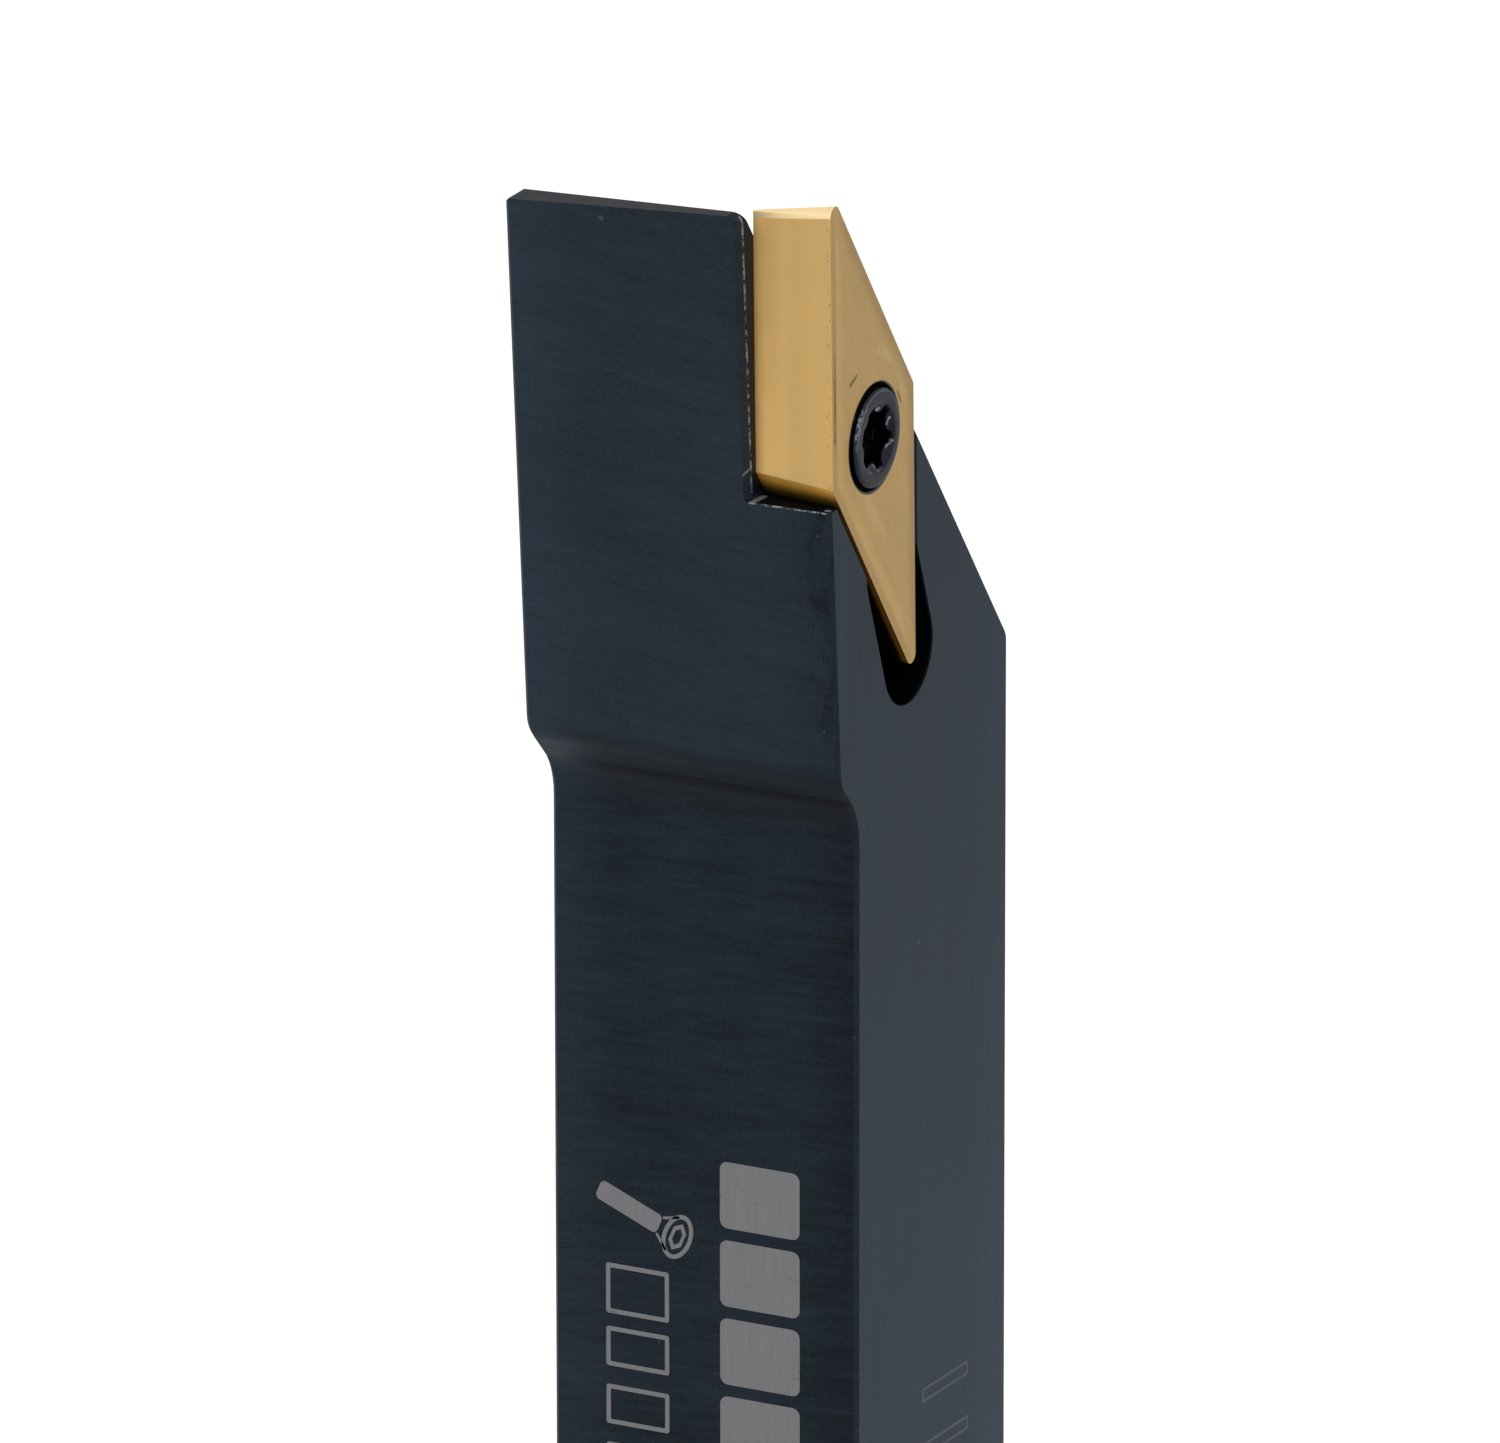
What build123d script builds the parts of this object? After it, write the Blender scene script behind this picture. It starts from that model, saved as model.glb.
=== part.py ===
"""Square-shank turning tool holder with a screw-clamped 35 degree rhombic insert.

Frame: the shank stands along +Z and its end face is centred on the origin. The rake side of the tool
faces -Y, the base that lies in a tool post faces +Y, and the cutting side faces -X. Millimetres.
"""

import os
from math import cos, radians, sin, tan

from build123d import *

# ---- Shank -----------------------------------------------------------------
shank_width = 12.0  # across the tool face
shank_height = 12.0  # from the base to the rake side
overall_length = 80.0  # shank end to the insert's theoretical sharp point
end_chamfer = 0.5  # round the shank end
edge_break = 0.15  # on the long edges of the bar

# ---- Insert ----------------------------------------------------------------
inscribed_circle = 6.35
insert_thickness = 3.18
point_angle = 35.0
relief_angle = 7.0
nose_radius = 0.35
obtuse_radius = 0.2
least_radius = 0.05  # of a ground corner at the insert's base
countersink_diameter = 3.9
countersink_angle = 60.0
edge_lean = 1.15  # main cutting edge against the shank's axis
tip_offset = 2.156  # sharp point out beyond the shank's cutting side

# ---- Head ------------------------------------------------------------------
head_side_angle = 4.0  # side of the head against the shank's axis
head_side_lean = 2.6  # side of the head against the shank's side, outwards towards the base
head_offset = 1.42  # how far the head stands out of the shank on the rake side, at the step
step_start = 22.2  # from the sharp point down to the head's corner at the step
step_angle = 44.0  # slope of the step against the shank's axis
step_convex_radius = 1.4
step_concave_radius = 2.6
front_flare = 0.85  # front slope against the insert's front edge
front_inset = 1.015  # front slope behind the insert's sharp point
front_root_radius = 0.8
nose_setback = 1.05  # nose flat behind the sharp point, on the rake side
nose_flat_lean = 3.0  # nose flat falls back towards the base

stock_allowance = 0.5  # left on the head's side before its leaning face is cut

# ---- Insert pocket ---------------------------------------------------------
wall_clearance = 0.06  # insert flank to pocket wall
pocket_overrun = 7.4  # pocket cutter beyond the insert's sharp point
wall_chamfer = 0.15  # along the top of the pocket walls
seat_bevel = 0.45  # on the pocket floor, along its open edge
seat_bevel_drop = 0.12  # the same bevel down the head's side
nose_round = 0.4  # pocket floor to nose flat
shelf_root_radius = 0.15
shelf_margin = 0.73  # square shelf at the open end of the long wall, behind the insert's side corner
tip_slot_radius = 1.93
tip_slot_depth = 1.1  # below the pocket floor
tip_slot_back = 1.38  # slot's end centre, back from the insert's sharp rear corner
tip_slot_side = 0.15  # slot's end centre, towards the cutting side
tip_slot_skew = 1.7  # slot against the insert's long diagonal
tip_slot_length = 4.0  # between the slot's end centres

# ---- Insert screw ----------------------------------------------------------
thread_diameter = 2.5
thread_allowance = 0.025  # radial, screw under the nominal thread
thread_chamfer = 0.25
screw_length = 6.8
screw_offset = 0.14  # screw axis off the insert's hole, towards the pocket walls
screw_offset_angle = -30.0  # direction of that offset on the tool face
head_diameter = 3.55
head_rim_height = 0.076  # above the head's cone
head_gap = 0.02  # least radial gap, head cone to countersink
hole_gap = 0.01  # least radial gap, thread to the insert's hole
head_rim_chamfer = 0.05
lobe_outer_diameter = 2.45
lobe_inner_diameter = 1.8
lobe_valley_radius = 0.48
lobe_count = 6
lobe_turn = -15.0  # first lobe from the x axis of the tool face
lobe_tip_fillet = 0.14
lobe_socket_depth = 0.75
socket_lead_diameter = 2.5  # conical lead-in of the socket
socket_lead_depth = 0.12

# ---- Planes ----------------------------------------------------------------
half_width = shank_width / 2
half_height = shank_height / 2
half_point = radians(point_angle / 2)
diagonal_lean = radians(edge_lean + point_angle / 2)

# On the tool face, x runs from the cutting side to the back and y runs along the shank; y is 0 at the
# insert's sharp point and z comes out of the rake side.
tool_face = Plane(origin=(-half_width, -half_height, overall_length), x_dir=(1, 0, 0), z_dir=(0, -1, 0))


def on_tool_face(x, y, depth=0.0):
    """Point at x, y on the tool face, or that far below it."""
    return tool_face.from_local_coords(Vector(x, y, -depth))


def long_radius(inner_radius):
    """Centre of the rhombus to an acute corner."""
    return inner_radius / sin(half_point)


def short_radius(inner_radius):
    """Centre of the rhombus to an obtuse corner."""
    return inner_radius / cos(half_point)


insert_radius = inscribed_circle / 2
flank_recess = insert_thickness * tan(radians(relief_angle))
base_radius = insert_radius - flank_recess
slot_end_y = tip_slot_back - long_radius(insert_radius)  # on the insert's own planes
insert_centre_x = long_radius(insert_radius) * sin(diagonal_lean) - tip_offset
insert_centre_y = -long_radius(insert_radius) * cos(diagonal_lean)
insert_centre = on_tool_face(insert_centre_x, insert_centre_y)

# The insert's own planes: y points along the long diagonal, towards the cutting point.
insert_top = Plane(
    origin=insert_centre,
    x_dir=(cos(diagonal_lean), 0, sin(diagonal_lean)),
    z_dir=(0, -1, 0),
)
seat = insert_top.offset(-insert_thickness)

screw_x = insert_centre_x + screw_offset * cos(radians(screw_offset_angle))
screw_y = insert_centre_y + screw_offset * sin(radians(screw_offset_angle))


def side_x(y, depth):
    """Side face of the head at y on the tool face, that far below it."""
    taper = (y + step_start) * tan(radians(head_side_angle))
    return -head_offset - taper - depth * tan(radians(head_side_lean))


def tool_face_direction(x, y, depth):
    """Direction given along the tool face and down into the bar."""
    return on_tool_face(x, y, depth) - on_tool_face(0, 0)


def pocket_wedge(inner_radius):
    """V between the two pocket walls, from the relief slot's end out beyond the nose."""
    root = long_radius(inner_radius)
    reach = long_radius(insert_radius) + pocket_overrun
    narrow = (slot_end_y + root) * tan(half_point)
    wide = (reach + root) * tan(half_point)
    Polygon((-narrow, slot_end_y), (narrow, slot_end_y), (wide, reach), (-wide, reach), align=None)


def ground_corner(radius):
    """Corner radius at the insert's base: the relief makes each corner a cone."""
    return max(radius - flank_recess, least_radius)


# ---- Holder ----------------------------------------------------------------
front_angle = radians(edge_lean + point_angle + front_flare)
front_top_x = -tip_offset - front_inset / cos(front_angle)
front_root_y = (front_top_x - shank_width) / tan(front_angle)

step_slope = tan(radians(step_angle))
step_foot_y = -step_start - head_offset / step_slope
stock_x = side_x(0, shank_height) - stock_allowance
stock_step_y = -step_start - (stock_x + head_offset) / step_slope

side_plane = Plane(
    origin=on_tool_face(-head_offset, -step_start),
    z_dir=tool_face_direction(-1, -tan(radians(head_side_angle)), -tan(radians(head_side_lean))),
)
nose_plane = Plane(
    origin=on_tool_face(0, -nose_setback),
    z_dir=tool_face_direction(0, 1, tan(radians(nose_flat_lean))),
)
wall_radius = insert_radius + wall_clearance

# The shelf meets the foot of the long wall, behind the insert's corner on the cutting side.
wall_normal = radians(edge_lean + point_angle)
shelf_setback = short_radius(insert_radius) * sin(diagonal_lean) - insert_centre_y + shelf_margin
shelf_drop = (insert_centre_y + shelf_setback) * sin(wall_normal)
shelf_end_x = insert_centre_x + (shelf_drop - base_radius - wall_clearance) / cos(wall_normal)

# Bevel along the open edge of the pocket floor, which runs up the head's side to the nose.
shelf_plane = Plane(origin=on_tool_face(0, -shelf_setback), z_dir=(0, 0, 1))
open_point = on_tool_face(side_x(insert_centre_y, insert_thickness), insert_centre_y, insert_thickness)
open_edge_direction = tool_face_direction(-tan(radians(head_side_angle)), 1, 0)
bevel_across = tool_face_direction(-seat_bevel, 0, seat_bevel_drop)
bevel_plane = Plane(
    origin=open_point + tool_face_direction(seat_bevel, 0, 0),
    z_dir=open_edge_direction.cross(bevel_across),
)


def runs_along(edge, plane):
    """Whether an edge at the pocket floor or its bevel lies in a plane."""
    off_plane = max(abs(plane.to_local_coords(vertex.center()).Z) for vertex in edge.vertices())
    drop = edge.center().Y - seat.origin.Y
    return off_plane < 0.001 and -0.001 < drop < seat_bevel_drop


with BuildPart() as bevel_cutter:
    with BuildSketch(tool_face):
        Polygon(
            (stock_x, -shelf_setback),
            (insert_centre_x, -shelf_setback),
            (insert_centre_x, 0),
            (stock_x, 0),
            align=None,
        )
    extrude(amount=-shank_height)
    split(bisect_by=bevel_plane, keep=Keep.TOP)

with BuildPart() as holder:
    # Head block, then its leaning side and nose flat
    with BuildSketch(tool_face):
        Polygon(
            (0, step_foot_y),
            (stock_x, stock_step_y),
            (stock_x, 0),
            (front_top_x, 0),
            (shank_width, front_root_y),
            (shank_width, step_foot_y),
            align=None,
        )
    extrude(amount=-shank_height)
    split(bisect_by=side_plane, keep=Keep.BOTTOM)
    split(bisect_by=nose_plane, keep=Keep.BOTTOM)

    # Square shank
    with BuildSketch(tool_face):
        with Locations((half_width, (step_foot_y - overall_length) / 2)):
            Rectangle(shank_width, overall_length + step_foot_y)
    extrude(amount=-shank_height)

    # Step between the head and the shank, and the root of the front slope
    step_corner = holder.edges().sort_by_distance(on_tool_face(-head_offset, -step_start, half_height))[0]
    fillet(step_corner, step_convex_radius)
    step_foot = holder.edges().sort_by_distance(on_tool_face(0, step_foot_y, half_height))[0]
    fillet(step_foot, step_concave_radius)
    front_root = holder.edges().sort_by_distance(on_tool_face(shank_width, front_root_y, half_height))[0]
    fillet(front_root, front_root_radius)

    chamfer(holder.faces().sort_by(Axis.Z)[0].edges(), end_chamfer)

    # Insert pocket: walls parallel to the insert's flanks
    with BuildSketch(insert_top):
        pocket_wedge(wall_radius)
    extrude(amount=-insert_thickness, taper=relief_angle, mode=Mode.SUBTRACT)

    # Square shelf where the long wall runs out on the cutting side
    with BuildSketch(tool_face):
        Polygon(
            (stock_x, -shelf_setback),
            (shelf_end_x, -shelf_setback),
            (shelf_end_x, 0),
            (stock_x, 0),
            align=None,
        )
    extrude(amount=-insert_thickness, mode=Mode.SUBTRACT)

    # Long edges: where the rake side and the base meet the sides of the bar
    side_edges = holder.faces().filter_by(lambda face: face.bounding_box().size.Y > half_height).edges()
    flats = holder.faces().sort_by(Axis.Y)
    outline = (flats[0].edges() + flats[-1].edges()).filter_by(lambda edge: edge in side_edges)
    chamfer(outline, edge_break)

    # Top of the pocket walls
    with BuildSketch(insert_top):
        pocket_wedge(wall_radius + wall_chamfer)
    extrude(amount=-wall_chamfer, taper=45, mode=Mode.SUBTRACT)

    # Pocket floor: rounded over at the nose, bevelled along its open edge, rounded up to the shelf
    fillet(holder.edges().filter_by(lambda edge: runs_along(edge, nose_plane)), nose_round)
    add(bevel_cutter.part, mode=Mode.SUBTRACT)
    fillet(holder.edges().filter_by(lambda edge: runs_along(edge, shelf_plane)), shelf_root_radius)

    # Relief slot for the insert's rear point
    with BuildSketch(seat.offset(-tip_slot_depth)):
        slot_lean = 90 + tip_slot_skew
        slot_x = tip_slot_length / 2 * cos(radians(slot_lean)) - tip_slot_side
        slot_y = tip_slot_length / 2 * sin(radians(slot_lean)) + slot_end_y
        with Locations((slot_x, slot_y)):
            SlotCenterToCenter(tip_slot_length, 2 * tip_slot_radius, rotation=slot_lean)
    extrude(amount=tip_slot_depth + insert_thickness, mode=Mode.SUBTRACT)

    # Tapped hole under the insert, through to the base
    with BuildSketch(tool_face.offset(-insert_thickness)):
        with Locations((screw_x, screw_y)):
            Circle(thread_diameter / 2)
    extrude(amount=-shank_height, mode=Mode.SUBTRACT)

# ---- Insert ----------------------------------------------------------------
with BuildPart() as insert:
    sections = (
        (insert_top, insert_radius, nose_radius, obtuse_radius),
        (seat, base_radius, ground_corner(nose_radius), ground_corner(obtuse_radius)),
    )
    for plane, inner_radius, acute_corner, obtuse_corner in sections:
        with BuildSketch(plane) as section:
            Polygon(
                (0, long_radius(inner_radius)),
                (-short_radius(inner_radius), 0),
                (0, -long_radius(inner_radius)),
                (short_radius(inner_radius), 0),
                align=None,
            )
            across = section.vertices().sort_by(Axis.X)
            fillet([across[0], across[-1]], obtuse_corner)
            along = section.vertices().sort_by(Axis.Y)
            fillet([along[0], along[-1]], acute_corner)
    loft(ruled=True)
    with Locations(insert_top):
        CounterSinkHole(
            radius=thread_diameter / 2 + screw_offset + hole_gap,
            counter_sink_radius=countersink_diameter / 2,
            counter_sink_angle=countersink_angle,
        )

# ---- Insert screw ----------------------------------------------------------
# In the section plane x is the radius and y is the depth below the rake face.
screw_section = Plane(origin=on_tool_face(screw_x, screw_y), x_dir=(1, 0, 0), z_dir=(0, 0, 1))
cone_slope = tan(radians(countersink_angle / 2))
head_radius = head_diameter / 2
thread_radius = thread_diameter / 2 - thread_allowance
socket_lead_radius = socket_lead_diameter / 2
cone_top = (countersink_diameter / 2 - screw_offset - head_gap - head_radius) / cone_slope
head_top = cone_top - head_rim_height
valley_centre_radius = lobe_inner_diameter / 2 + lobe_valley_radius
valley_turn = lobe_turn + 180 / lobe_count
cone_foot = cone_top + (head_radius - thread_radius) / cone_slope

with BuildPart() as insert_screw:
    with BuildSketch(screw_section):
        Polygon(
            (0, head_top + socket_lead_depth),
            (socket_lead_radius - socket_lead_depth, head_top + socket_lead_depth),
            (socket_lead_radius, head_top),
            (head_radius - head_rim_chamfer, head_top),
            (head_radius, head_top + head_rim_chamfer),
            (head_radius, cone_top),
            (thread_radius, cone_foot),
            (thread_radius, screw_length - thread_chamfer),
            (thread_radius - thread_chamfer, screw_length),
            (0, screw_length),
            align=None,
        )
    revolve(axis=Axis(screw_section.origin, screw_section.y_dir))

    # Six-lobe socket
    with BuildSketch(tool_face.offset(-head_top)) as socket:
        with Locations((screw_x, screw_y)):
            Circle(lobe_outer_diameter / 2)
            with PolarLocations(valley_centre_radius, lobe_count, start_angle=valley_turn):
                Circle(lobe_valley_radius, mode=Mode.SUBTRACT)
        fillet(socket.vertices(), lobe_tip_fillet)
    extrude(amount=-lobe_socket_depth, mode=Mode.SUBTRACT)

# ---- Files -----------------------------------------------------------------
os.makedirs("parts", exist_ok=True)

holder.part.label = "holder"
export_step(holder.part, "parts/holder.step")

insert.part.label = "insert"
export_step(insert.part, "parts/insert.step")

insert_screw.part.label = "insert_screw"
export_step(insert_screw.part, "parts/insert_screw.step")
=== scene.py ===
"""Square-shank turning tool holder with a gold-coated rhombic insert: its looks.

The tool stands on its shank end. +Z runs along the shank to the cutting point, the rake side faces -Y and
the cutting side faces -X. Blender works in metres. Shape numbers below are in millimetres and are scaled
by MM. A mask in a material is 1 on what it is named after and 0 elsewhere.
"""

from math import atan2, cos, hypot, pi, radians, sin, tan

import bmesh
import bpy
from mathutils import Matrix, Vector


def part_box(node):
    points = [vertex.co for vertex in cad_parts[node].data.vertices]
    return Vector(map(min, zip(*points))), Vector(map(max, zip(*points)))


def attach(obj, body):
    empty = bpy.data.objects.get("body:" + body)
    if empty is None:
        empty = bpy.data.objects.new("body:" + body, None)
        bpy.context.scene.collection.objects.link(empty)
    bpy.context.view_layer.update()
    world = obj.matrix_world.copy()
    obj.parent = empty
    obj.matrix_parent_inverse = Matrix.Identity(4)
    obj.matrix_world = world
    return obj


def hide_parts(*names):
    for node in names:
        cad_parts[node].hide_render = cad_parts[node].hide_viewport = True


MM = 0.001

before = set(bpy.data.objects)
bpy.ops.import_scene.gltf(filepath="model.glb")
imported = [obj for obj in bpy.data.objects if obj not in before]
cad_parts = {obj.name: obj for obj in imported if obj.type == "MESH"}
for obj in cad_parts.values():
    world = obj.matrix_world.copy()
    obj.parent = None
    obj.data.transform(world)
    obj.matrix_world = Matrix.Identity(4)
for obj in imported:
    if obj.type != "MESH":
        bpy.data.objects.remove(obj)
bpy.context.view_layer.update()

scene = bpy.context.scene
scene.view_settings.view_transform = "Standard"


# ---- Shader building -------------------------------------------------------
class Shader:
    """A node tree with short ways to add sums of nodes."""

    stroke_core = 0.35  # share of a stroke's half width that is full

    def __init__(self, owner):
        owner.use_nodes = True
        self.tree = owner.node_tree
        self.tree.nodes.clear()

    def add(self, kind, **values):
        node = self.tree.nodes.new(kind)
        for name, value in values.items():
            setattr(node, name, value)
        return node

    def put(self, value, socket):
        if isinstance(value, bpy.types.NodeSocket):
            self.tree.links.new(value, socket)
        elif value is not None:
            socket.default_value = value

    # Sums
    def math(self, operation, a, b=None, c=None, clamp=False):
        node = self.add("ShaderNodeMath", operation=operation, use_clamp=clamp)
        for value, socket in zip((a, b, c), node.inputs):
            self.put(value, socket)
        return node.outputs[0]

    def times(self, *factors):
        total = factors[0]
        for factor in factors[1:]:
            total = self.math("MULTIPLY", total, factor)
        return total

    def plus(self, base, value, weight=1.0):
        """Base + value * weight."""
        return self.math("MULTIPLY_ADD", value, weight, base)

    def minus(self, a, b):
        return self.math("SUBTRACT", a, b)

    def sway(self, base, noise, weight):
        """Base made larger and smaller by noise about its middle."""
        return self.plus(base, self.minus(noise, 0.5), weight)

    def size(self, a):
        """a without its sign."""
        return self.math("ABSOLUTE", a)

    # Vectors
    def vector(self, operation, a, b):
        node = self.add("ShaderNodeVectorMath", operation=operation)
        self.put(a, node.inputs[0])
        self.put(b, node.inputs[1])
        return node.outputs["Value" if operation == "DOT_PRODUCT" else "Vector"]

    def split(self, value):
        node = self.add("ShaderNodeSeparateXYZ")
        self.put(value, node.inputs[0])
        return node.outputs[0], node.outputs[1], node.outputs[2]

    def join(self, x, y, z):
        node = self.add("ShaderNodeCombineXYZ")
        for value, socket in zip((x, y, z), node.inputs):
            self.put(value, socket)
        return node.outputs[0]

    def stretch(self, coordinates, factors):
        return self.vector("MULTIPLY", coordinates, factors)

    def distance(self, *offsets):
        """Length of the sum of offsets at right angles."""
        total = 0.0
        for offset in offsets:
            total = self.plus(total, offset, offset)
        return self.math("SQRT", total)

    # Masks
    def ramp(self, value, low, high, out_low=0.0, out_high=1.0):
        """Smooth step of value from low to high."""
        node = self.add("ShaderNodeMapRange", interpolation_type="SMOOTHSTEP")
        for socket, number in zip(node.inputs, (value, low, high, out_low, out_high)):
            self.put(number, socket)
        return node.outputs[0]

    def window(self, value, low, full_low, full_high, high):
        """1 from full_low to full_high, and 0 below low and above high."""
        return self.times(self.ramp(value, low, full_low), self.ramp(value, high, full_high))

    def without(self, mask):
        """1 where mask is 0, and 0 where it is 1."""
        return self.minus(1.0, mask)

    def either(self, *masks):
        """The largest of masks."""
        total = masks[0]
        for mask in masks[1:]:
            total = self.math("MAXIMUM", total, mask)
        return total

    def stroke(self, u, v, a, b, width):
        """1 along a straight stroke from a to b in the plane of u and v, and 0 from width off it."""
        du, dv = b[0] - a[0], b[1] - a[1]
        pu, pv = self.minus(u, a[0]), self.minus(v, a[1])
        share = self.plus(self.times(pv, dv), pu, du)
        share = self.math("DIVIDE", share, du * du + dv * dv, clamp=True)
        off_u = self.plus(pu, share, -du)
        off_v = self.plus(pv, share, -dv)
        return self.ramp(self.distance(off_u, off_v), width, width * self.stroke_core)

    # Textures and colours
    def noise(self, coordinates, detail, roughness, scale=1.0, distortion=0.0):
        node = self.add("ShaderNodeTexNoise")
        self.put(coordinates, node.inputs["Vector"])
        node.inputs["Scale"].default_value = scale
        node.inputs["Detail"].default_value = detail
        node.inputs["Roughness"].default_value = roughness
        node.inputs["Distortion"].default_value = distortion
        return node.outputs["Fac"]

    def mix(self, amount, a, b):
        """Colour a, with b over it by amount."""
        node = self.add("ShaderNodeMix", data_type="RGBA")
        self.put(amount, node.inputs[0])
        self.put(a, node.inputs[6])
        self.put(b, node.inputs[7])
        return node.outputs[2]

    def scaled(self, colour, factor):
        plain = colour if isinstance(colour, bpy.types.NodeSocket) else colour[:3]
        return self.vector("MULTIPLY", plain, self.join(factor, factor, factor))

    # Ends of the tree
    def place(self):
        """Position in millimetres and normal, both in the object's own axes."""
        node = self.add("ShaderNodeTexCoord")
        return self.stretch(node.outputs["Object"], (1 / MM, 1 / MM, 1 / MM)), node.outputs["Normal"]

    def finish(self, colour, metallic, roughness, bump, bump_height, specular):
        """Surface with a bump of up to bump_height millimetres."""
        relief = self.add("ShaderNodeBump")
        relief.inputs["Strength"].default_value = 1.0
        relief.inputs["Distance"].default_value = bump_height * MM
        self.put(bump, relief.inputs["Height"])
        body = self.add("ShaderNodeBsdfPrincipled")
        self.put(colour, body.inputs["Base Color"])
        self.put(metallic, body.inputs["Metallic"])
        self.put(roughness, body.inputs["Roughness"])
        self.put(relief.outputs[0], body.inputs["Normal"])
        body.inputs["Specular IOR Level"].default_value = specular
        out = self.add("ShaderNodeOutputMaterial")
        self.put(body.outputs[0], out.inputs["Surface"])


def rgb(r, g, b):
    return (r, g, b, 1.0)


# ---- Places on the tool ----------------------------------------------------
def centre_mm(node):
    low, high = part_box(node)
    return [(a + b) / 2 / MM for a, b in zip(low, high)]


shank_face = -6.0  # the shank's rake side on y and its cutting side on x
insert_x, _, insert_z = centre_mm("insert")
screw_x, _, screw_z = centre_mm("insert_screw")
screw_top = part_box("insert_screw")[0][1] / MM
insert_foot_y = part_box("insert")[1][1] / MM
floor_depth = insert_foot_y - shank_face  # pocket floor below the rake face
long_lean = radians(18.65)  # insert's long diagonal against the shank
half_point = radians(17.5)
relief_slope = tan(radians(7.0))
insert_radius = 3.175

shelf_z = 68.2  # square shelf at the open end of the pocket's long wall
bevel_root_x = -7.842  # inner edge of the floor's bevel at the shelf
bevel_slope = -tan(radians(4.0))
head_foot_z = (56.8, 59.2)  # here the shank's finish turns into the head's
head_end_z = (76.0, 76.5)  # above this, what faces up is the head's end

# Relief slot at the pocket's tip. Its middle line starts at slot_end on the insert's long diagonal, goes
# slot_length towards the insert, and lies slot_shift across from the diagonal.
slot_end, slot_length, slot_shift = -9.18, 4.0, -0.15
slot_radius, slot_depth = 2.0, 4.4

hole_radius = 1.25  # tapped hole
sink_radius = 2.0  # countersink's edge on the insert's rake face
nose_z = 78.5  # the insert's rounded nose is above this

thread_pitch = 0.45
thread_crest = 1.22
thread_root = 0.95


def insert_axes(sh, p):
    """Along the insert's short and long diagonals, down from its rake face, and in from its outline."""
    local = sh.vector("SUBTRACT", p, (insert_x, shank_face, insert_z))
    across = sh.vector("DOT_PRODUCT", local, (cos(long_lean), 0.0, sin(long_lean)))
    along = sh.vector("DOT_PRODUCT", local, (-sin(long_lean), 0.0, cos(long_lean)))
    _, depth, _ = sh.split(local)
    outline = sh.times(sh.size(along), sin(half_point))
    outline = sh.plus(outline, sh.size(across), cos(half_point))
    outline = sh.plus(outline, depth, relief_slope)
    return across, along, depth, sh.minus(insert_radius, outline)


# ---- Holder ----------------------------------------------------------------
oxide = rgb(0.0175, 0.0268, 0.0385)
rake_painted_dark_head = rgb(0.0146, 0.0240, 0.0375)
rake_painted_pale_shank = rgb(0.0275, 0.0405, 0.0600)
head_end_painted_shade = rgb(0.0026, 0.0036, 0.0064)
crease_painted_shade = rgb(0.0060, 0.0070, 0.0074)
floor_painted_shade = rgb(0.0060, 0.0112, 0.0200)
shelf_painted_shadow = rgb(0.0006, 0.0014, 0.0030)
slot_painted_shadow = rgb(0.0006, 0.0007, 0.0009)
thread_painted_shade = rgb(0.004, 0.005, 0.006)
foot_brown = rgb(0.050, 0.016, 0.008)
bare_steel_and_glint = rgb(0.34, 0.37, 0.41)


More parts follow.
